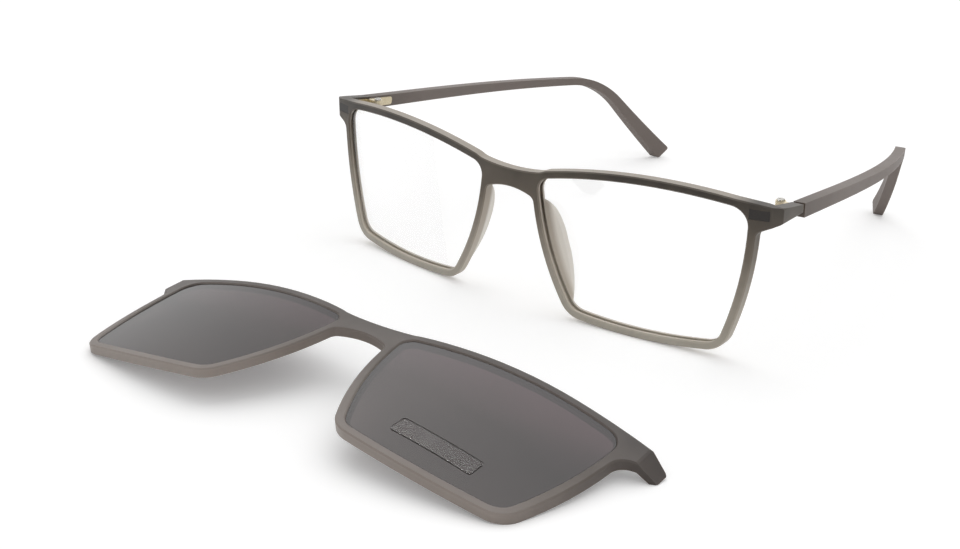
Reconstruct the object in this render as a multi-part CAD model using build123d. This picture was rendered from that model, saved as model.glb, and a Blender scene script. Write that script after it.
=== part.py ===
"""Optical frame with its magnetic clip-on sun frame lying in front of it.

Millimetres. X runs across the face (plus is the wearer's left), Y from the face of the front back to the
temple tips, Z up. The floor is z = 0: the two lower rims, the two temple tips and the clip stand on it,
and the origin is the middle of the footprint. The front, its lenses and the clip are drawn in their own
upright plane (x across, y deep, z up) and are then leaned or laid down.
"""
from build123d import *
import math
import os

# Front: the sizes that an optician would quote
lens_width = 53.8            # lens opening, across
lens_height = 37.3           # lens opening, up
lens_gap = 17.4              # between the two openings at the nose
face_radius = 250.0          # the front is bent to this radius
front_depth = 2.6            # face to back of a rim
rim_width = 1.9              # opening to outer edge of a rim
front_lean_deg = 4.7         # top of the front leans forward by this
pantoscopic_deg = 8.6        # shaft of a temple against the square of the front

# Lens opening: four bowed sides between corners, as shares of the lens box from its nose-side foot
nose_top_share = (0.000, 0.887)
temple_top_share = (1.000, 0.952)
temple_foot_share = (0.903, 0.034)
nose_foot_share = (0.197, 0.025)
top_bow_share = 0.052        # bow of a side, as a share of that side's own length
temple_bow_share = 0.046
foot_bow_share = 0.033
nose_bow_share = 0.065
nose_top_radius = 3.6
temple_top_radius = 4.8
temple_foot_radius = 4.4
nose_foot_radius = 4.8

# Bridge and endpieces
brow_run = 4.3               # the brow line runs into the rims this far past the side of the opening
brow_sink = 0.41             # and ends this far below the top edge of the rim
brow_sag = 1.55              # how much lower it is at the middle
bridge_height = 4.8
brow_blend_radius = 6.0
underside_run = 0.1          # the underside stops this far short of the opening
underside_drop = 2.2         # how much lower it is there
endpiece_drop = 0.63         # top of the endpiece at its corner, below the rim's top edge run on to the side
endpiece_height = 3.8
endpiece_reach = 5.2         # corner of the endpiece past the rim
endpiece_run_share = 0.307   # where its top line leaves the rim: share of the opening's width from its side
endpiece_sink = 0.35         # below the top edge of the rim there
endpiece_top_bow_share = 0.012
endpiece_heel_drop = 3.6     # where its lower line ends, inside the rim
endpiece_corner_radius = 0.7
endpiece_length = 9.4        # turned-back arm, from the corner facet to the joint
arm_fall = 1.6               # how much lower the middle of the arm is at the joint
corner_facet = 2.2           # sloped facet at the corner, across and deep
hollow_radius = 2.0          # inside corners of the outline
face_edge_chamfer = 0.3      # eased edges of the face of the front and of the clip

# Lens grooves and clear lenses
lens_thickness = 1.1
lens_setback = 0.85          # lens face behind the face of the rim
groove_depth = 0.7
groove_play = 0.05           # round the edge of a lens in its groove

# Nose pads, moulded with the front
pad_drop = 10.2              # top of a pad below the top of the opening
pad_foot = 3.6
pad_reach = 4.9              # how far a pad stands behind the rim
pad_thickness = 1.7
pad_splay = 1.6              # how far its free edge leans away from the nose
pad_peak_share = 0.66        # height of the deepest point, as a share of the pad's height
pad_foot_share = 0.48        # its edge below that point: how deep, and how high
pad_foot_height_share = 0.14
pad_shoulder_share = 0.62    # and above it
pad_shoulder_height_share = 0.90

# Temples
temple_height = 3.5          # at the joint
temple_waist = 2.15          # at the bend
temple_tip_height = 5.0
temple_thickness = 2.9       # at the joint
temple_tip_thickness = 3.0
temple_shaft = 108.9         # joint to bend
temple_drop_deg = 42.2       # bend of the ear piece below the shaft
temple_bend_radius = 30.0
temple_tip_radius = 0.8
temple_splay_deg = 2.5       # seen from above, it leaves the joint outwards by this
temple_inset = 18.7          # and comes in by this at the tip
temple_turn_deg = 28.4       # where it runs inwards by this
left_rest_fold_deg = 8.6     # the left temple stands folded in by this in the rest pose
joint_gap = 0.15             # between endpiece and temple, when open

# Hinges
pin_inset = 3.0             # hinge pin inside the inner face of the temple and of the endpiece arm
barrel_radius = 1.25
pin_radius = 0.60
pin_play = 0.04              # radial, pin in its barrels
barrel_count = 3             # two on the front, one on the temple
barrel_gap = 0.06
hinge_height = 2.7
leaf_thickness = 0.8
leaf_height = 2.3
front_leaf_length = 4.8
temple_leaf_length = 9.2
leaf_end_radius = 0.8
leaf_play = 0.02             # round a leaf in its recess
screw_head_radius = 0.95
screw_head_height = 0.4
screw_slot_width = 0.25
screw_slot_depth = 0.22

# Magnets, in the front and in the clip
magnet_width = 4.8
magnet_margin = 0.7          # endpiece above and below a magnet
magnet_depth = 0.6
magnet_inset = 4.6           # middle of a magnet in from the outer side of the endpiece
magnet_play = 0.03
magnet_sink = 0.05           # face of a magnet below the face around it

# Clip
clip_gap = 0.15              # between the clip and the face of the front, when it is on
clip_depth = 2.2
clip_outer_inset = 0.2       # outer edge of the clip inside that of the front
clip_opening_inset = 0.35    # clip opening smaller than the front's all round
clip_tab_reach = 1.7         # tab past the side of the endpiece
clip_tab_facet_share = 0.55  # width of the slope that turns the tab back, as a share of its reach past the rim
clip_tab_hollow_share = 0.65 # inside corner between tab and rim, as a share of the same
clip_lens_thickness = 1.0
clip_lens_setback = 0.35
clip_lens_play = 0.08        # round the edge of a clip lens
clip_ledge = 0.7             # ledge that the clip lens rests on
clip_middle_x = 12.8         # where the clip lies
clip_middle_y = -97.0
clip_yaw_deg = 2.0

surface_play = 0.02          # an edge this near to a surface lies in it
tilt_passes = 6              # turns by which the clip settles on the floor
overrun = 1.0                # cuts pass the surface that they open by this
parts_folder = "parts"


lens_side = lens_gap / 2 + lens_width
lens_top = rim_width + lens_height
half_width = lens_side + rim_width + endpiece_reach


def upright(face, near, far):
    """Prism of an outline in x and z, from depth near to depth far."""
    return Pos(0, near, 0) * extrude(Plane.XZ * face, amount=near - far)


def level(face, low, high):
    """Prism of an outline in x and y, from height low to height high."""
    return Pos(0, 0, low) * extrude(face, amount=high - low)


def mirrored(shape):
    return mirror(shape, about=Plane.YZ)


def bowed_side(start, end, bow_share):
    """Arc from start to end that bows out to its left by a share of its chord."""
    run = Vector(*end) - Vector(*start)
    middle = (Vector(*start) + Vector(*end)) * 0.5
    out = Vector(-run.Y, run.X) * bow_share
    return ThreePointArc(start, middle + out, end)


def depth_of_face(x):
    """Depth of the bent face at a distance x from the middle."""
    return face_radius - math.sqrt(face_radius**2 - x**2)


def lens_corner(share):
    nose_side = lens_gap / 2
    return (nose_side + share[0] * lens_width, rim_width + share[1] * lens_height)


def side_circle(start, end, bow_share):
    """Centre and radius of the circle that the bowed side from start to end lies on."""
    run = Vector(*end) - Vector(*start)
    rise = bow_share * run.length
    radius = (run.length**2 / 4 + rise**2) / (2 * rise)
    inward = Vector(run.Y, -run.X).normalized()
    return (Vector(*start) + Vector(*end)) / 2 + inward * (radius - rise), radius


def side_disc(start, end, bow_share, grow):
    """Disc with the bowed side from start to end on its rim; it lies on the right of that side."""
    centre, radius = side_circle(start, end, bow_share)
    return Pos(centre.X, centre.Y) * Circle(radius + grow)


def rim_top(x):
    """Height of the top edge of the rim at x, its corners taken as sharp."""
    centre, radius = side_circle(lens_corner(nose_top_share), lens_corner(temple_top_share), top_bow_share)
    return centre.Y + math.sqrt((radius + rim_width) ** 2 - (x - centre.X) ** 2)


brow_reach = lens_gap / 2 + brow_run
brow_end = rim_top(brow_reach) - brow_sink
bridge_top = brow_end - brow_sag
bridge_underside = bridge_top - bridge_height
endpiece_top = rim_top(lens_side) - endpiece_drop
endpiece_foot = endpiece_top - endpiece_height
magnet_height = endpiece_height - 2 * magnet_margin
clip_tab_length = endpiece_reach + clip_tab_reach


def lens_outline(grow):
    """Opening for the lens on the plus side, grown all round."""
    corners = [lens_corner(s) for s in (nose_foot_share, nose_top_share, temple_top_share, temple_foot_share)]
    bows = (nose_bow_share, top_bow_share, temple_bow_share, foot_bow_share)
    radii = (nose_foot_radius, nose_top_radius, temple_top_radius, temple_foot_radius)
    outline = side_disc(corners[0], corners[1], bows[0], grow)
    for i in range(1, 4):
        outline &= side_disc(corners[i], corners[(i + 1) % 4], bows[i], grow)
    for corner, radius in zip(corners, radii):
        outline = rounded(outline, corner[0], corner[1], radius + grow)
    return outline


def bridge_outline():
    brow = ThreePointArc((-brow_reach, brow_end), (0, bridge_top), (brow_reach, brow_end))
    under_reach = lens_gap / 2 - underside_run
    low_end = bridge_underside - underside_drop
    under = ThreePointArc((under_reach, low_end), (0, bridge_underside), (-under_reach, low_end))
    right = Line(brow @ 1, under @ 0)
    left = Line(under @ 1, brow @ 0)
    return make_face([brow, right, under, left])


def rounded(outline, x, z, radius):
    """The outline with its corner nearest to x, z rounded."""
    nearest = outline.vertices().sort_by_distance((x, z, 0))[0]
    return fillet(nearest, radius)


def endpiece_outline(reach):
    """Corner block outside the rim, out to reach from the middle."""
    root = lens_side - endpiece_run_share * lens_width
    root_top = rim_top(root) - endpiece_sink
    heel = endpiece_foot - endpiece_heel_drop
    crown = bowed_side((root, root_top), (reach, endpiece_top), endpiece_top_bow_share)
    rest = Polyline((reach, endpiece_top), (reach, endpiece_foot), (lens_side, heel), (root, heel), (root, root_top))
    return make_face([crown, *rest.edges()])


def front_outline(rim, reach, hollow):
    """Whole outline of a front seen from ahead, without its openings."""
    half = lens_outline(rim) + endpiece_outline(reach)
    half = rounded(half, lens_side + rim, endpiece_foot - endpiece_heel_drop / 2, hollow)
    half = rounded(half, reach, endpiece_top, endpiece_corner_radius)
    half = rounded(half, reach, endpiece_foot, endpiece_corner_radius)
    whole = half + mirrored(half) + bridge_outline()
    nose_edge = lens_gap / 2 - rim / 2
    for side in (1, -1):
        whole = rounded(whole, side * nose_edge, bridge_top + brow_sag / 2, brow_blend_radius)
        whole = rounded(whole, side * nose_edge, bridge_underside - underside_drop, hollow_radius)
    return whole


def bent_slab(front_face, back_face, low, high):
    """Slab between two depths behind the bent face, across the whole front."""
    reach = half_width * 1.2
    centre = face_radius
    outer = Pos(0, centre) * Circle(face_radius - front_face)
    inner = Pos(0, centre) * Circle(face_radius - back_face)
    window = Pos(0, centre / 2) * Rectangle(2 * reach, centre)
    window += Pos(0, -centre / 4) * Rectangle(2 * reach, centre / 2)
    return level((outer - inner) & window, low, high)


def front_plan():
    """The front seen from above: bent bar, sloped corners and the two arms that turn back."""
    face_end = (facet_start, depth_of_face(facet_start))
    face = ThreePointArc((-face_end[0], face_end[1]), (0, 0), face_end)
    back = ThreePointArc((inner_face, arm_root), (0, front_depth), (-inner_face, arm_root))
    arm = Polyline(
        face_end,
        (half_width, facet_end),
        (half_width, joint_depth),
        (inner_face, joint_depth),
        (inner_face, arm_root),
    )
    return make_face([face, *arm.edges(), back, *mirror(arm, about=Plane.YZ).edges()])


def front_side():
    """The front seen from the side: the bar, and the arm that falls and tapers towards the joint."""
    half_joint = temple_height / 2
    arm = make_face(
        Polyline(
            (facet_end, endpiece_top),
            (joint_depth, joint_height + half_joint),
            (joint_depth, joint_height - half_joint),
            (facet_end, endpiece_foot),
            close=True,
        )
    )
    bar = Pos(facet_end, 0) * Rectangle(2 * joint_depth, 2 * front_top, align=(Align.MAX, Align.CENTER))
    return arm + bar


inner_face = half_width - temple_thickness
arm_root = depth_of_face(inner_face) + front_depth
facet_start = half_width - corner_facet
facet_end = depth_of_face(facet_start) + corner_facet
joint_depth = facet_end + endpiece_length
joint_height = endpiece_top - endpiece_height / 2 - arm_fall
pin_x = inner_face - pin_inset
pin_depth = joint_depth + joint_gap / 2
front_top = lens_top + rim_width + endpiece_height
hinge_foot = joint_height - hinge_height / 2
barrel_pitch = (hinge_height + barrel_gap) / barrel_count
barrel_height = barrel_pitch - barrel_gap
pin_axis = Axis((pin_x, pin_depth, 0), (0, 0, 1))


def on_bent_face(block, near):
    """A block stood at the place of the plus side's magnet, square to the bent face, from depth near."""
    x = half_width - magnet_inset
    turn = math.degrees(math.asin(x / face_radius))
    middle = endpiece_top - endpiece_height / 2
    return Pos(x, depth_of_face(x), middle) * Rot(0, 0, turn) * Pos(0, near, 0) * block


def magnet_block(play, deep):
    return Box(
        magnet_width + 2 * play,
        deep,
        magnet_height + 2 * play,
        align=(Align.CENTER, Align.MIN, Align.CENTER),
    )


def frame_magnet():
    return on_bent_face(magnet_block(0, magnet_depth), magnet_sink)


def clip_magnet():
    return on_bent_face(magnet_block(0, magnet_depth), -clip_gap - magnet_sink - magnet_depth)


def nose_pad():
    """Pad behind the nose side of the plus rim: a leaning blade whose free edge swells and dies away."""
    strip = lens_outline(rim_width) - lens_outline(rim_width - pad_thickness)
    strip &= Pos(lens_gap / 2, pad_foot) * Rectangle(lens_width / 2, lens_height, align=(Align.CENTER, Align.MIN))
    start = front_depth / 2
    free_edge = front_depth + pad_reach
    lean = Vector(pad_splay, free_edge - start, 0)
    blade = Pos(0, start, 0) * extrude(Plane.XZ * strip, amount=lean.length, dir=lean)
    span = lens_top - pad_drop - pad_foot
    bump = Spline(
        (start, pad_foot - overrun),
        (front_depth + pad_foot_share * pad_reach, pad_foot + pad_foot_height_share * span),
        (free_edge, pad_foot + pad_peak_share * span),
        (front_depth + pad_shoulder_share * pad_reach, pad_foot + pad_shoulder_height_share * span),
        (start, pad_foot + span + overrun),
    )
    side = make_face([bump, Line(bump @ 1, bump @ 0)])
    return blade & extrude(Plane.YZ * side, amount=half_width / 2)


def front_leaf(play):
    """Leaf of the front half of the hinge, sunk in the inner side of the endpiece arm and falling with it."""
    block = Box(
        leaf_thickness + play,
        front_leaf_length + overrun + play,
        leaf_height + 2 * play,
        align=(Align.MIN, Align.MAX, Align.CENTER),
    )
    fall = math.degrees(math.atan2(arm_fall, endpiece_length))
    leaf = Pos(inner_face, joint_depth, joint_height) * Rot(-fall, 0, 0) * Pos(0, overrun, 0) * block
    return leaf - behind_joint(0)


def temple_leaf(play):
    """Leaf of the temple half, along the shaft, with a rounded far end."""
    outline = Rectangle(
        temple_leaf_length + overrun + play, leaf_height + 2 * play, align=(Align.MIN, Align.CENTER)
    )
    far_corners = outline.vertices().group_by(Axis.X)[-1]
    outline = Pos(-overrun, 0) * fillet(far_corners, leaf_end_radius)
    leaf = extrude(Plane.YZ * outline, amount=leaf_thickness + play)
    leaf = Pos(inner_face, joint_depth, joint_height) * Rot(-pantoscopic_deg, 0, 0) * leaf
    return leaf & behind_joint(joint_gap)


def behind_joint(gap):
    """All the space that starts a gap behind the end of the endpiece arm."""
    reach = 2 * half_width
    block = Box(2 * reach, 2 * reach, 2 * reach, align=(Align.CENTER, Align.MIN, Align.CENTER))
    return Pos(0, joint_depth + gap, joint_height) * block


def barrel(number, towards_temple):
    """One barrel, counted from the foot, with the neck that joins it to its leaf."""
    neck_from = 0 if towards_temple else -barrel_radius
    neck = Pos(0, neck_from) * Rectangle(pin_inset, barrel_radius, align=(Align.MIN, Align.MIN))
    section = Circle(barrel_radius) + neck - Circle(pin_radius + pin_play)
    return Pos(pin_x, pin_depth, hinge_foot + number * barrel_pitch) * extrude(section, amount=barrel_height)


def front_hinge():
    hinge = front_leaf(0)
    for number in range(0, barrel_count, 2):
        hinge += barrel(number, False)
    return hinge


def temple_hinge():
    hinge = temple_leaf(0)
    for number in range(1, barrel_count, 2):
        hinge += barrel(number, True)
    return hinge


def hinge_screw():
    """Slotted screw that is the pin: shank through all the barrels, head on the top one."""
    top = hinge_foot + hinge_height
    shank = Pos(pin_x, pin_depth, hinge_foot) * Cylinder(
        pin_radius, hinge_height, align=(Align.CENTER, Align.CENTER, Align.MIN)
    )
    head = Pos(pin_x, pin_depth, top) * Cylinder(
        screw_head_radius, screw_head_height, align=(Align.CENTER, Align.CENTER, Align.MIN)
    )
    slot = Pos(pin_x, pin_depth, top + screw_head_height - screw_slot_depth) * Box(
        2 * screw_head_radius + overrun,
        screw_slot_width,
        screw_slot_depth + overrun,
        align=(Align.CENTER, Align.CENTER, Align.MIN),
    )
    return shank + head - slot


def face_eased(body, depth_of_surface):
    """The body with the sharp edges of its bent face taken off."""

    def off_surface(edge):
        spots = [edge @ t for t in (0.0, 0.5, 1.0)]
        return max(abs(spot.Y - depth_of_surface(spot.X)) for spot in spots)

    return chamfer([e for e in body.edges() if off_surface(e) < surface_play], face_edge_chamfer)


def front_frame():
    outline = front_outline(rim_width, half_width, hollow_radius)
    opening = lens_outline(0)
    outline -= opening
    outline -= mirrored(opening)
    body = upright(outline, -overrun, joint_depth + overrun)
    body &= level(front_plan(), -overrun, front_top)
    body &= Pos(-half_width, 0, 0) * extrude(Plane.YZ * front_side(), amount=2 * half_width)
    body = face_eased(body, depth_of_face)
    pad = nose_pad()
    body += pad
    body += mirrored(pad)
    groove = upright(lens_outline(groove_depth), -overrun, joint_depth) & bent_slab(
        lens_setback - groove_play, lens_setback + lens_thickness + groove_play, -overrun, front_top
    )
    pocket = on_bent_face(
        magnet_block(magnet_play, overrun + magnet_sink + magnet_depth + magnet_play), -overrun
    )
    for cut in (groove, pocket, front_leaf(leaf_play)):
        body -= cut
        body -= mirrored(cut)
    return body


def demo_lens():
    """Clear lens in its groove."""
    edge = groove_depth - groove_play
    return upright(lens_outline(edge), -overrun, joint_depth) & bent_slab(
        lens_setback, lens_setback + lens_thickness, -overrun, front_top
    )


def temple_side(drop_length):
    """Side view of a temple along its shaft: tapering shaft, bend and ear piece with a rounded tip."""
    bend = math.radians(temple_drop_deg)
    along = Vector(math.cos(bend), -math.sin(bend))
    across = Vector(math.sin(bend), math.cos(bend))
    corner = Vector(temple_shaft, 0)
    mitre = Vector(math.tan(bend / 2), 1) * (temple_waist / 2)
    tip = corner + along * drop_length
    half_tip = across * (temple_tip_height / 2)
    half_joint = temple_height / 2
    outline = make_face(
        Polyline(
            (-overrun, half_joint),
            corner + mitre,
            tip + half_tip,
            tip - half_tip,
            corner - mitre,
            (-overrun, -half_joint),
            close=True,
        )
    )
    for spot, radius in (
        (corner + mitre, temple_bend_radius + temple_waist / 2),
        (corner - mitre, temple_bend_radius - temple_waist / 2),
        (tip + half_tip, temple_tip_radius),
        (tip - half_tip, temple_tip_radius),
    ):
        outline = rounded(outline, spot.X, spot.Y, radius)
    return outline


def temple_plan(length):
    """The temple seen from above: a tapering strip that leaves the joint outwards and then turns in."""
    third = length / 3
    insets = (
        0,
        -third * math.tan(math.radians(temple_splay_deg)),
        temple_inset - third * math.tan(math.radians(temple_turn_deg)),
        temple_inset,
    )

    def side(thickness_share):
        thicker = (temple_tip_thickness - temple_thickness) / 3
        return [
            (half_width - inset - thickness_share * (temple_thickness + i * thicker), i * third)
            for i, inset in enumerate(insets)
        ]

    outer = Bezier(*side(0))
    inner = Bezier(*side(1))
    ahead = Vector(0, -2 * overrun)
    start = Polyline(inner @ 0, (inner @ 0) + ahead, (outer @ 0) + ahead, outer @ 0)
    return make_face([outer, Line(outer @ 1, inner @ 1), inner, *start.edges()])


def temple(joint_z):
    """Temple of the plus side, fully open; joint_z is the height of its joint above the floor."""
    bend = math.radians(temple_drop_deg)
    slope = math.radians(pantoscopic_deg - front_lean_deg)
    steep = slope + bend
    corner_loss = temple_tip_radius * (math.sin(steep) + math.cos(steep) - 1)
    fall = joint_z - temple_shaft * math.sin(slope) - temple_tip_height / 2 * math.cos(steep) + corner_loss
    drop_length = fall / math.sin(steep)
    length = temple_shaft + drop_length * math.cos(bend) + temple_tip_height
    side = extrude(Plane.YZ * temple_side(drop_length), amount=2 * half_width)
    plan = Pos(0, 0, -joint_z) * extrude(temple_plan(length), amount=joint_z + temple_height)
    blank = Pos(0, joint_depth, joint_height) * Rot(-pantoscopic_deg, 0, 0) * (side & plan)
    return (blank & behind_joint(joint_gap)) - temple_leaf(leaf_play)


def clip_depth_of(x, radius):
    """Depth of a surface of the clip, bent about the same axis as the front."""
    return face_radius - math.sqrt(radius**2 - x**2)


def clip_plan():
    """The clip seen from above when it is on: bent bar, and tabs that slope back along the corner facets."""
    outer = face_radius + clip_gap + clip_depth
    inner = face_radius + clip_gap
    tab_end = half_width + clip_tab_reach
    slope_start = tab_end - clip_tab_facet_share * clip_tab_length
    root_x = facet_start + clip_gap / 2
    root = (root_x, clip_depth_of(root_x, inner))
    face_end = (slope_start, clip_depth_of(slope_start, outer))
    face = ThreePointArc((-face_end[0], face_end[1]), (0, -clip_gap - clip_depth), face_end)
    back = ThreePointArc(root, (0, -clip_gap), (-root[0], root[1]))
    covered = facet_end - root[1]
    tab = Polyline(face_end, (tab_end, facet_end), (root_x + covered, facet_end), root)
    return make_face([face, *tab.edges(), back, *mirror(tab, about=Plane.YZ).edges()])


def clip_face_depth(x):
    return clip_depth_of(x, face_radius + clip_gap + clip_depth)


def clip_frame():
    hollow = clip_tab_hollow_share * clip_tab_length
    outline = front_outline(rim_width - clip_outer_inset, half_width + clip_tab_reach, hollow)
    opening = lens_outline(-clip_opening_inset - clip_ledge)
    outline -= opening
    outline -= mirrored(opening)
    near = -clip_gap - clip_depth
    body = upright(outline, near - overrun, joint_depth)
    body &= level(clip_plan(), -overrun, front_top)
    seat = upright(lens_outline(-clip_opening_inset), near - overrun, joint_depth) & bent_slab(
        near - overrun, near + clip_lens_setback + clip_lens_thickness, -overrun, front_top
    )
    body -= seat
    body -= mirrored(seat)
    body = face_eased(body, clip_face_depth)
    pocket = on_bent_face(
        magnet_block(magnet_play, overrun + clip_gap + magnet_sink + magnet_depth + magnet_play),
        -clip_gap - magnet_sink - magnet_depth - magnet_play,
    )
    body -= pocket
    body -= mirrored(pocket)
    return body


def clip_lens():
    """Tinted lens, let into the face of the clip."""
    near = -clip_gap - clip_depth + clip_lens_setback
    outline = lens_outline(-clip_opening_inset - clip_lens_play)
    return upright(outline, near - joint_depth, joint_depth) & bent_slab(
        near, near + clip_lens_thickness, -overrun, front_top
    )


def clip_tilt(clip):
    """Lean of the clip as it lies face up on the feet of its rims and on the ends of its tabs."""
    side = 4 * half_width
    upper = Pos(0, 0, endpiece_foot / 2) * Box(side, side, side, align=(Align.CENTER, Align.CENTER, Align.MIN))
    tabs = clip & upper
    feet = clip - upper
    lean = 0
    for _ in range(tilt_passes):
        turn = Rot(lean - 90, 0, 0)
        rise = (turn * feet).bounding_box().min.Z - (turn * tabs).bounding_box().min.Z
        lean += math.degrees(math.atan2(rise, endpiece_foot))
    return lean


def laid_clip(pieces):
    """The clip's pieces, face up on the floor in front of the frame."""
    face = -clip_gap - clip_depth
    lean = clip_tilt(pieces["clip_frame"])
    tilt = Rot(0, 0, clip_yaw_deg) * Rot(lean - 90, 0, 0) * Pos(0, -face, 0)
    turned = {name: tilt * shape for name, shape in pieces.items()}
    low = turned["clip_frame"].bounding_box().min.Z
    return {name: Pos(clip_middle_x, clip_middle_y, -low) * shape for name, shape in turned.items()}


def centred(nodes):
    """All the nodes, moved so that the middle of their footprint is the origin."""
    boxes = [shape.bounding_box() for shape in nodes.values()]
    middle_x = (min(b.min.X for b in boxes) + max(b.max.X for b in boxes)) / 2
    middle_y = (min(b.min.Y for b in boxes) + max(b.max.Y for b in boxes)) / 2
    return {name: Pos(-middle_x, -middle_y, 0) * shape for name, shape in nodes.items()}


def standing_temple(stand):
    """Temple cut to the length at which its tip meets the floor, also where it is folded in a little."""
    joint_z = (stand * Pos(0, joint_depth, joint_height)).position.Z
    folded = stand * temple(joint_z).rotate(pin_axis, left_rest_fold_deg)
    return temple(joint_z + folded.bounding_box().min.Z)


def build():
    lean = Rot(front_lean_deg, 0, 0)
    front = front_frame()
    stand = Pos(0, 0, -(lean * front).bounding_box().min.Z) * lean
    fixed = {
        "demo_lens": demo_lens(),
        "frame_magnet": frame_magnet(),
        "front_hinge": front_hinge(),
        "hinge_screw": hinge_screw(),
    }
    swinging = {"temple": standing_temple(stand), "temple_hinge": temple_hinge()}
    nodes = {"front_frame": stand * front}
    for name, shape in fixed.items():
        nodes[f"{name}_left"] = stand * shape
        nodes[f"{name}_right"] = stand * mirrored(shape)
    for name, shape in swinging.items():
        nodes[f"{name}_left"] = stand * shape.rotate(pin_axis, left_rest_fold_deg)
        nodes[f"{name}_right"] = stand * mirrored(shape)

    clip = {"clip_frame": clip_frame()}
    for name, shape in (("clip_lens", clip_lens()), ("clip_magnet", clip_magnet())):
        clip[f"{name}_left"] = shape
        clip[f"{name}_right"] = mirrored(shape)
    nodes.update(laid_clip(clip))
    return centred(nodes)


if __name__ == "__main__":
    os.makedirs(parts_folder, exist_ok=True)
    for name, shape in build().items():
        export_step(shape, f"{parts_folder}/{name}.step")
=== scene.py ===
"""Looks for a rectangular optical frame with its magnetic sun clip lying in front of it.

The frame and the clip are moulded in a smoky, slightly translucent nylon with a satin skin, and the clip holds
two grey polarising lenses. Metres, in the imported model's own frame: +X the wearer's left, +Y back towards the
temple tips, +Z up from the floor.
"""

import math

import bpy
import numpy
from mathutils import Matrix, Vector
from mathutils.bvhtree import BVHTree


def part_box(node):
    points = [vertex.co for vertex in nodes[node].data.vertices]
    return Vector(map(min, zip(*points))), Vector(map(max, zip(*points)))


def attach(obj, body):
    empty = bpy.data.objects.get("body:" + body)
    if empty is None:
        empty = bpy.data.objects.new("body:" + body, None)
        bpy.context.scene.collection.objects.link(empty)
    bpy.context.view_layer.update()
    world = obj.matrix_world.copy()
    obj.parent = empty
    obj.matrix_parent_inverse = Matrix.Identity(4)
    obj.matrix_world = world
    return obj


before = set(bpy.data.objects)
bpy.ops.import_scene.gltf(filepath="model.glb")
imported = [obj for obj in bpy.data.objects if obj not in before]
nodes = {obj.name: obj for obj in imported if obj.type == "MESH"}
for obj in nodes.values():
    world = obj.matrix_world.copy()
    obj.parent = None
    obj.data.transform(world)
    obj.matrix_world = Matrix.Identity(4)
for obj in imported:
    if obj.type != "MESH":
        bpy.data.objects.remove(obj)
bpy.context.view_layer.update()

MM = 0.001
IMAGE_WIDTH = 960                   # pixels, of the photograph and of the picture
FRONT_LEAN = math.radians(4.7)      # the top of the front leans forward
PAD_START = 2.9 * MM                # the pads begin here, behind the face
PAD_FADE = 1.5 * MM                 # and have their full colour this much deeper
PAD_REACH = (20 * MM, 26 * MM)      # from the middle plane: the pads end before these
RIM_REACH = (58 * MM, 64 * MM)      # and the rims between these, where the solid endpieces begin

front_low, front_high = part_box("front_frame")
clip_low, clip_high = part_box("clip_frame")
lens_low, lens_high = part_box("clip_lens_left")
front_middle = (front_low.x + front_high.x) / 2
clip_middle = (clip_low.x + clip_high.x) / 2
lens_middle = (lens_low + lens_high) / 2

scene = bpy.context.scene
scene.view_settings.view_transform = "Standard"


# Small helpers

def srgb(hex_colour):
    """A written sRGB colour as the linear colour that the shaders take."""
    parts = [int(hex_colour[i:i + 2], 16) / 255 for i in (1, 3, 5)]
    return (*(c / 12.92 if c <= 0.04045 else ((c + 0.055) / 1.055) ** 2.4 for c in parts), 1.0)


def add(tree, kind, inputs=None, stops=None, **settings):
    """A node of that kind with its settings and links.

    An input is a value, the socket that it is linked from, or a node whose first output it is linked from. The
    stops of a colour ramp are pairs of place and hex colour.
    """
    node = tree.nodes.new(kind)
    for name, value in settings.items():
        setattr(node, name, value)
    for key, value in (inputs or {}).items():
        if isinstance(value, bpy.types.Node):
            value = value.outputs[0]
        if isinstance(value, bpy.types.NodeSocket):
            tree.links.new(value, node.inputs[key])
        else:
            node.inputs[key].default_value = value
    if stops:
        elements = node.color_ramp.elements
        for element, (place, colour) in zip(elements, (stops[0], stops[-1])):
            element.position, element.color = place, srgb(colour)
        for place, colour in stops[1:-1]:
            elements.new(place).color = srgb(colour)
    return node


def new_material(name):
    """An empty material, its node tree, and the coordinates of the object that wears it."""
    material = bpy.data.materials.new(name)
    material.use_nodes = True
    tree = material.node_tree
    tree.nodes.clear()
    return material, tree, add(tree, "ShaderNodeTexCoord").outputs["Object"]


def drifting_height(tree, place, axis, start, end, clouds, drift):
    """0 at start and 1 at end along one axis, pushed up and down by soft clouds by as much as drift."""
    split = add(tree, "ShaderNodeSeparateXYZ", {0: place})
    height = add(
        tree, "ShaderNodeMapRange", {"Value": split.outputs[axis], "From Min": start, "From Max": end}
    )
    push = add(
        tree, "ShaderNodeMapRange",
        {"Value": clouds, "From Min": 0.3, "From Max": 0.7, "To Min": -drift, "To Max": drift},
    )
    return add(tree, "ShaderNodeMath", {0: height, 1: push}, operation="ADD", use_clamp=True)


# Smoke nylon

def near_middle(tree, place, middle, reach):
    """1 near the middle plane, and 0 where the reach has ended."""
    split = add(tree, "ShaderNodeSeparateXYZ", {0: place})
    offset = add(tree, "ShaderNodeMath", {0: split.outputs["X"], 1: middle}, operation="SUBTRACT")
    aside = add(tree, "ShaderNodeMath", {0: offset}, operation="ABSOLUTE")
    return add(
        tree, "ShaderNodeMapRange",
        {"Value": aside, "From Min": reach[0], "From Max": reach[1], "To Min": 1.0, "To Max": 0.0},
    )


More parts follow.
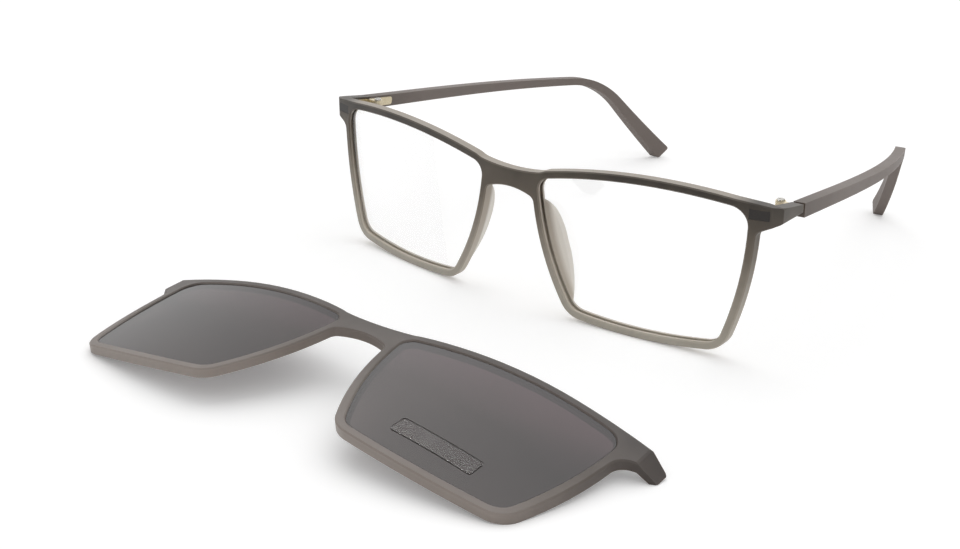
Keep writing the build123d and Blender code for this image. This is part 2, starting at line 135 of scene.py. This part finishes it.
def painted_wall_light(tree, place, face_axis, middle, share):
    """Share of painted light on the walls of the rims and bridge, whose surface runs along face_axis, and 0 on
    their broad
    faces and on the endpieces or tabs: a lighter colour there is painted for light that shows through the nylon and
    falls on them."""
    normal = add(tree, "ShaderNodeNewGeometry").outputs["Normal"]
    split = add(tree, "ShaderNodeSeparateXYZ", {0: normal})
    facing = add(tree, "ShaderNodeMath", {0: split.outputs[face_axis]}, operation="ABSOLUTE")
    wall = add(
        tree, "ShaderNodeMapRange",
        {"Value": facing, "From Min": 0.3, "From Max": 0.85, "To Min": share, "To Max": 0.0},
    )
    rims = near_middle(tree, place, middle, RIM_REACH)
    return add(tree, "ShaderNodeMath", {0: wall, 1: rims}, operation="MULTIPLY")


def painted_pad_light(tree, place, share):
    """Share of painted light on the nose pads, which stand behind the leaning front near its middle, and 0
    elsewhere: a lighter colour there is painted for light that shows through the thin nylon.
    """
    backwards = Vector((0, math.cos(FRONT_LEAN), math.sin(FRONT_LEAN)))
    deep = add(tree, "ShaderNodeVectorMath", {0: place, 1: backwards}, operation="DOT_PRODUCT")
    start = backwards.dot(Vector((0, front_low.y, front_high.z))) + PAD_START
    behind = add(
        tree, "ShaderNodeMapRange",
        {"Value": deep.outputs["Value"], "From Min": start, "From Max": start + PAD_FADE, "To Max": share},
    )
    near = near_middle(tree, place, front_middle, PAD_REACH)
    return add(tree, "ShaderNodeMath", {0: behind, 1: near}, operation="MULTIPLY")


def moulded_nylon(name, axis, start, end, stops, painted_light_colours=(), roughness=0.44):
    """Transparent polyamide, smoke-dyed and injection moulded: satin from the fine spark-eroded skin of the mould,
    and a little translucent; the light that shows through its walls and thin pads is painted on them as a lighter
    colour than its broad faces.

    The dye's colour follows the stops along one axis. Each entry of the painted light is a lighter colour and the
    function for its share.
    """
    material, tree, place = new_material(name)
    # dye flow in the moulding: soft clouds 9 mm across
    clouds = add(tree, "ShaderNodeTexNoise", {"Vector": place, "Scale": 1 / (9 * MM), "Detail": 2.0})
    height = drifting_height(tree, place, axis, start, end, clouds, 0.05)
    colour = add(tree, "ShaderNodeValToRGB", {"Fac": height}, stops).outputs["Color"]
    # painted light: each lighter colour is mixed over the dye where its share says
    for pale, share_of in painted_light_colours:
        # a Mix node set to RGBA takes its colours at 6 and 7, and gives one at 2
        mix = add(tree, "ShaderNodeMix", {0: share_of(tree, place), 6: colour, 7: srgb(pale)}, data_type="RGBA")
        colour = mix.outputs[2]
    # the mould's skin: grains of 0.12 mm, drawn at 0.22 mm so that they show
    grain = add(tree, "ShaderNodeTexNoise", {"Vector": place, "Scale": 1 / (0.22 * MM), "Detail": 2.0})
    skin = add(tree, "ShaderNodeBump", {"Strength": 0.35, "Distance": 0.02 * MM, "Height": grain})
    polish = add(
        tree, "ShaderNodeMapRange",
        {
            "Value": clouds, "From Min": 0.3, "From Max": 0.7,
            "To Min": roughness - 0.04, "To Max": roughness + 0.04,
        },
    )
    nylon = add(
        tree, "ShaderNodeBsdfPrincipled",
        {
            "Base Color": colour, "Roughness": polish, "Normal": skin, "IOR": 1.51,
            "Subsurface Weight": 0.3, "Subsurface Radius": (1.0, 0.92, 0.85), "Subsurface Scale": 1.6 * MM,
        },
        subsurface_method="RANDOM_WALK",
    )
    add(tree, "ShaderNodeOutputMaterial", {"Surface": nylon})
    return material


# Lenses and film

def clear_acrylic(name):
    """Clear demonstration lens, cast and polished: little but a faint reflection shows where it is."""
    material, tree, place = new_material(name)
    # polishing haze, in patches of 14 mm
    haze = add(tree, "ShaderNodeTexNoise", {"Vector": place, "Scale": 1 / (14 * MM)})
    polish = add(tree, "ShaderNodeMapRange", {"Value": haze, "To Min": 0.0, "To Max": 0.03})
    # mostly let through by alpha, so that the seat and the floor behind it get their light
    acrylic = add(
        tree, "ShaderNodeBsdfPrincipled",
        {
            "Base Color": srgb("#ffffff"), "Roughness": polish, "IOR": 1.3, "Transmission Weight": 1.0,
            "Alpha": 0.1,
        },
    )
    add(tree, "ShaderNodeOutputMaterial", {"Surface": acrylic})
    return material


def polarising_laminate(name, axis, start, end):
    """Grey polarising lens, a film laminated between hard-coated sheets: deep grey, faintly plum towards the brow,
    and lighter towards its lower edge, where a soft reflection is painted over the grey."""
    material, tree, place = new_material(name)
    # the coat's unevenness, in patches of 26 mm
    stain = add(tree, "ShaderNodeTexNoise", {"Vector": place, "Scale": 1 / (26 * MM), "Detail": 1.0})
    height = drifting_height(tree, place, axis, start, end, stain, 0.08)
    # the grey lightens towards the lower edge: a painted soft reflection; faintly plum towards the brow
    colour = add(
        tree, "ShaderNodeValToRGB", {"Fac": height}, [(0.0, "#584e4c"), (0.55, "#3d3231"), (1.0, "#4f3d41")]
    )
    polish = add(tree, "ShaderNodeMapRange", {"Value": stain, "To Min": 0.03, "To Max": 0.07})
    laminate = add(
        tree, "ShaderNodeBsdfPrincipled",
        {"Base Color": colour, "Roughness": polish, "IOR": 1.5, "Transmission Weight": 0.85},
    )
    add(tree, "ShaderNodeOutputMaterial", {"Surface": laminate})
    return material


def clear_vinyl(name):
    """Thin clear protective film on the sun lens: static vinyl, calendered smooth and all but invisible."""
    material, tree, place = new_material(name)
    # the calender's haze, in patches of 6 mm
    haze = add(tree, "ShaderNodeTexNoise", {"Vector": place, "Scale": 1 / (6 * MM), "Detail": 1.0})
    polish = add(tree, "ShaderNodeMapRange", {"Value": haze, "To Min": 0.02, "To Max": 0.05})
    vinyl = add(
        tree, "ShaderNodeBsdfPrincipled",
        {
            "Base Color": srgb("#fbfaf9"), "Roughness": polish, "IOR": 1.1, "Transmission Weight": 1.0,
            "Alpha": 0.3,
        },
    )
    add(tree, "ShaderNodeOutputMaterial", {"Surface": vinyl})
    return material


def painted_shade_edge(name):
    """The cut edge of the film, painted dark and matt: painted shade for the dark line that the clear vinyl shows
    there.
    """
    material, tree, place = new_material(name)
    # dust that clings to it, in specks of 0.5 mm
    dust = add(tree, "ShaderNodeTexNoise", {"Vector": place, "Scale": 1 / (0.5 * MM), "Detail": 1.0})
    colour = add(tree, "ShaderNodeValToRGB", {"Fac": dust}, [(0.3, "#37322f"), (0.7, "#443e3b")])
    edge = add(tree, "ShaderNodeBsdfPrincipled", {"Base Color": colour, "Roughness": 0.6})
    add(tree, "ShaderNodeOutputMaterial", {"Surface": edge})
    return material


# Metal

def worked_metal(name, light, dark, roughness, grain, stretch):
    """Plated metal with the fine lines of its cutting or tumbling: as wide as grain, and pressed together along the
    axis that stretch is greatest on."""
    material, tree, place = new_material(name)
    turned = add(tree, "ShaderNodeMapping", {"Vector": place, "Scale": stretch})
    lines = add(tree, "ShaderNodeTexNoise", {"Vector": turned, "Scale": 1 / grain, "Detail": 3.0})
    colour = add(tree, "ShaderNodeValToRGB", {"Fac": lines}, [(0.3, dark), (0.7, light)])
    polish = add(
        tree, "ShaderNodeMapRange", {"Value": lines, "To Min": roughness - 0.07, "To Max": roughness + 0.07}
    )
    relief = add(tree, "ShaderNodeBump", {"Strength": 0.2, "Distance": 0.01 * MM, "Height": lines})
    metal = add(
        tree, "ShaderNodeBsdfPrincipled",
        {"Base Color": colour, "Metallic": 1.0, "Roughness": polish, "Normal": relief},
    )
    add(tree, "ShaderNodeOutputMaterial", {"Surface": metal})
    return material


def coated_magnet(name):
    """Neodymium block magnet in its dark epoxy coat: satin, with a slight orange peel of 0.35 mm."""
    material, tree, place = new_material(name)
    peel = add(tree, "ShaderNodeTexNoise", {"Vector": place, "Scale": 1 / (0.35 * MM), "Detail": 2.0})
    colour = add(tree, "ShaderNodeValToRGB", {"Fac": peel}, [(0.3, "#17120f"), (0.7, "#241d19")])
    relief = add(tree, "ShaderNodeBump", {"Strength": 0.25, "Distance": 0.02 * MM, "Height": peel})
    coat = add(
        tree, "ShaderNodeBsdfPrincipled", {"Base Color": colour, "Roughness": 0.45, "Normal": relief}
    )
    add(tree, "ShaderNodeOutputMaterial", {"Surface": coat})
    return material


# Finish of each node

# pale at the feet of the rims, and nearly black-brown at the brow
front_nylon = moulded_nylon(
    "smoke_nylon_front", "Z", front_low.z, front_high.z,
    [(0.0, "#a9a397"), (0.35, "#948c80"), (0.65, "#665c4f"), (1.0, "#2c241b")],
    # painted light: lighter colours on the walls and the thin pads, for light that shows through the nylon and
    # falls on them
    painted_light_colours=[
        ("#c3b8aa", lambda tree, place: painted_wall_light(tree, place, "Y", front_middle, 0.54)),
        ("#ddd8cf", lambda tree, place: painted_pad_light(tree, place, 0.92)),
    ],
)
# as dark as the endpiece where the temple begins, and lighter within 35 mm of its length
temple_nylon = moulded_nylon(
    "smoke_nylon_temple", "Y", front_high.y - 10 * MM, front_high.y + 25 * MM,
    [(0.0, "#463c34"), (1.0, "#6c625c")], roughness=0.55,
)
# the clip lies on its back, with its brow away from the camera
clip_nylon = moulded_nylon(
    "smoke_nylon_clip", "Y", clip_low.y, clip_high.y,
    [(0.0, "#7a716b"), (0.5, "#5a514a"), (1.0, "#362d28")],
    # painted light: a lighter colour on the walls of its rims
    painted_light_colours=[("#b3a79e", lambda tree, place: painted_wall_light(tree, place, "Z", clip_middle, 0.3))],
)
clear_lens = clear_acrylic("clear_demonstration_lens")
sun_lens = polarising_laminate("grey_polarising_lens", "Y", lens_low.y, lens_high.y)
hinge_metal = worked_metal("plated_nickel_silver", "#d8cdb4", "#b3a587", 0.3, 0.25 * MM, (1, 4, 1))
screw_metal = worked_metal("turned_steel_screw", "#d6d4cf", "#aaa7a1", 0.25, 0.12 * MM, (1, 1, 5))
magnet_coat = coated_magnet("epoxy_coated_magnet")
film_vinyl = clear_vinyl("clear_static_film")
film_edge_shade = painted_shade_edge("film_edge_painted_shade")

# by the beginning of a node's name
FINISHES = {
    "front_frame": front_nylon,
    "clip_frame": clip_nylon,
    "demo_lens": clear_lens,
    "clip_lens": sun_lens,
    "temple_hinge": hinge_metal,
    "front_hinge": hinge_metal,
    "hinge_screw": screw_metal,
    "frame_magnet": magnet_coat,
    "clip_magnet": magnet_coat,
    "temple": temple_nylon,
}

for node_name, node in nodes.items():
    longest = max((start for start in FINISHES if node_name.startswith(start)), key=len)
    node.data.materials.clear()
    node.data.materials.append(FINISHES[longest])


# Blank protective film on the sun lens

def rounded(u, v, width, height, radius):
    """A place on a rectangle, with what lies outside its rounded corners pulled in to them."""
    du = max(0.0, radius - u, u - (width - radius))
    dv = max(0.0, radius - v, v - (height - radius))
    away = math.hypot(du, dv)
    if away > radius:
        pull = 1 - radius / away
        u += math.copysign(du * pull, width / 2 - u)
        v += math.copysign(dv * pull, height / 2 - v)
    return u, v


def smoothly_bent(points, clearance):
    """The smooth bent sheet through points on the faceted lens, lifted so that it just clears all of them."""
    x, y = (points[:, :2] - points[:, :2].mean(axis=0)).T
    terms = numpy.stack([numpy.ones_like(x), x, y, x * x, x * y, y * y], axis=1)
    fit = numpy.linalg.lstsq(terms, points[:, 2], rcond=None)[0]
    smooth = terms @ fit
    bent = points.copy()
    bent[:, 2] = smooth + (points[:, 2] - smooth).max() + clearance
    return bent


def lens_film(name, lens, corner, run, rise, corner_radius, thickness, clearance):
    """A thin sheet with rounded corners that lies on the lens; corner, run and rise are seen from above."""
    surface = BVHTree.FromPolygons(
        [v.co.copy() for v in lens.data.vertices], [tuple(p.vertices) for p in lens.data.polygons]
    )
    columns, rows = 36, 10
    across, up = run.normalized(), rise.normalized()
    points = []
    for i in range(columns + 1):
        for j in range(rows + 1):
            u, v = rounded(
                run.length * i / columns, rise.length * j / rows, run.length, rise.length, corner_radius
            )
            spot = corner + across * u + up * v
            place, *_ = surface.ray_cast(Vector((spot.x, spot.y, 1.0)), Vector((0, 0, -1)))
            points.append(tuple(place))
    faces = []
    for i in range(columns):
        for j in range(rows):
            a = i * (rows + 1) + j
            faces.append((a, a + rows + 1, a + rows + 2, a + 1))
    mesh = bpy.data.meshes.new(name)
    mesh.from_pydata(smoothly_bent(numpy.array(points), clearance).tolist(), [], faces)
    mesh.validate()
    film = bpy.data.objects.new(name, mesh)
    scene.collection.objects.link(film)
    for polygon in mesh.polygons:
        polygon.use_smooth = True
    solid = film.modifiers.new("thickness", "SOLIDIFY")
    solid.thickness = thickness
    solid.offset = 1.0
    # the rim of the sheet takes the second material, the cut edge's painted shade
    solid.material_offset_rim = 1
    mesh.materials.append(film_vinyl)
    mesh.materials.append(film_edge_shade)
    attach(film, "clip")


lens_film(
    "blank_lens_film", nodes["clip_lens_left"],
    corner=Vector((lens_middle.x - 7.5 * MM, lens_middle.y - 13.6 * MM)),
    run=Vector((20 * MM, 0.7 * MM)), rise=Vector((-0.16 * MM, 4.6 * MM)),
    corner_radius=0.7 * MM, thickness=0.12 * MM, clearance=0.02 * MM,
)


# Floor, light and camera

def looked_at(tree):
    """1 for a ray that looks at a surface, straight or by way of a mirror or a lens, and 0 for one that lights."""
    path = add(tree, "ShaderNodeLightPath")
    straight = add(
        tree, "ShaderNodeMath", {0: path.outputs["Is Camera Ray"], 1: path.outputs["Is Glossy Ray"]},
        operation="MAXIMUM",
    )
    return add(
        tree, "ShaderNodeMath", {0: straight, 1: path.outputs["Is Transmission Ray"]}, operation="MAXIMUM"
    )


def white_floor(reach, lift):
    """Seamless white paper, matt; lift is added where it is looked at, so that unshaded paper is plain white."""
    material, tree, place = new_material("white_paper")
    fibre = add(tree, "ShaderNodeTexNoise", {"Vector": place, "Scale": 1 / (0.8 * MM), "Detail": 3.0})
    relief = add(tree, "ShaderNodeBump", {"Strength": 0.05, "Distance": 0.02 * MM, "Height": fibre})
    paper = add(tree, "ShaderNodeBsdfDiffuse", {"Color": srgb("#f8f8f8"), "Normal": relief})
    strength = add(tree, "ShaderNodeMath", {0: looked_at(tree), 1: lift}, operation="MULTIPLY")
    bright = add(tree, "ShaderNodeEmission", {"Strength": strength})
    both = add(tree, "ShaderNodeAddShader", {0: paper, 1: bright})
    add(tree, "ShaderNodeOutputMaterial", {"Surface": both})
    mesh = bpy.data.meshes.new("floor")
    mesh.from_pydata(
        [(-reach, -reach, 0), (reach, -reach, 0), (reach, reach, 0), (-reach, reach, 0)], [], [(0, 1, 2, 3)]
    )
    mesh.materials.append(material)
    floor = bpy.data.objects.new("floor", mesh)
    scene.collection.objects.link(floor)


def studio_world(fill):
    """White room: an even fill for the light, and plain white where it is seen or mirrored."""
    world = bpy.data.worlds.new("studio")
    scene.world = world
    world.use_nodes = True
    tree = world.node_tree
    tree.nodes.clear()
    strength = add(tree, "ShaderNodeMapRange", {"Value": looked_at(tree), "To Min": fill, "To Max": 1.0})
    room = add(tree, "ShaderNodeBackground", {"Color": srgb("#ffffff"), "Strength": strength})
    add(tree, "ShaderNodeOutputWorld", {"Surface": room})


def soft_light(name, direction, power, spread_deg):
    """Very large distant softbox."""
    data = bpy.data.lights.new(name, "SUN")
    data.energy = power
    data.angle = math.radians(spread_deg)
    light = bpy.data.objects.new(name, data)
    light.rotation_euler = Vector(direction).to_track_quat("-Z", "Y").to_euler()
    scene.collection.objects.link(light)


def photo_camera(focal_px, right, up, ahead, eye):
    """Camera of the photograph, worked out from the front's own symmetry and its contact with the floor.

    eye is measured from the floor under the middle of the front, 2.92 mm behind its foremost point.
    """
    data = bpy.data.cameras.new("camera")
    data.sensor_width = 36.0
    data.lens = data.sensor_width * focal_px / IMAGE_WIDTH
    data.clip_start, data.clip_end = 0.01, 50.0
    camera = bpy.data.objects.new("camera", data)
    foot = Vector((front_middle, front_low.y + 2.92 * MM, 0))
    turn = Matrix((right, up, -Vector(ahead))).transposed()
    camera.matrix_world = Matrix.Translation(foot + Vector(eye) * MM) @ turn.to_4x4()
    scene.collection.objects.link(camera)
    scene.camera = camera


white_floor(reach=8.0, lift=0.17)
studio_world(fill=0.62)
soft_light("overhead_softbox", (0.25, -0.45, -1.0), 0.95, 70)
soft_light("window_side_softbox", (-0.9, 0.5, -0.8), 0.25, 60)
photo_camera(
    focal_px=1450.36,
    right=(0.77279, 0.63253, 0.05204),
    up=(-0.25255, 0.23124, 0.93955),
    ahead=(-0.58225, 0.73921, -0.33844),
    eye=(209.59, -278.09, 131.89),
)
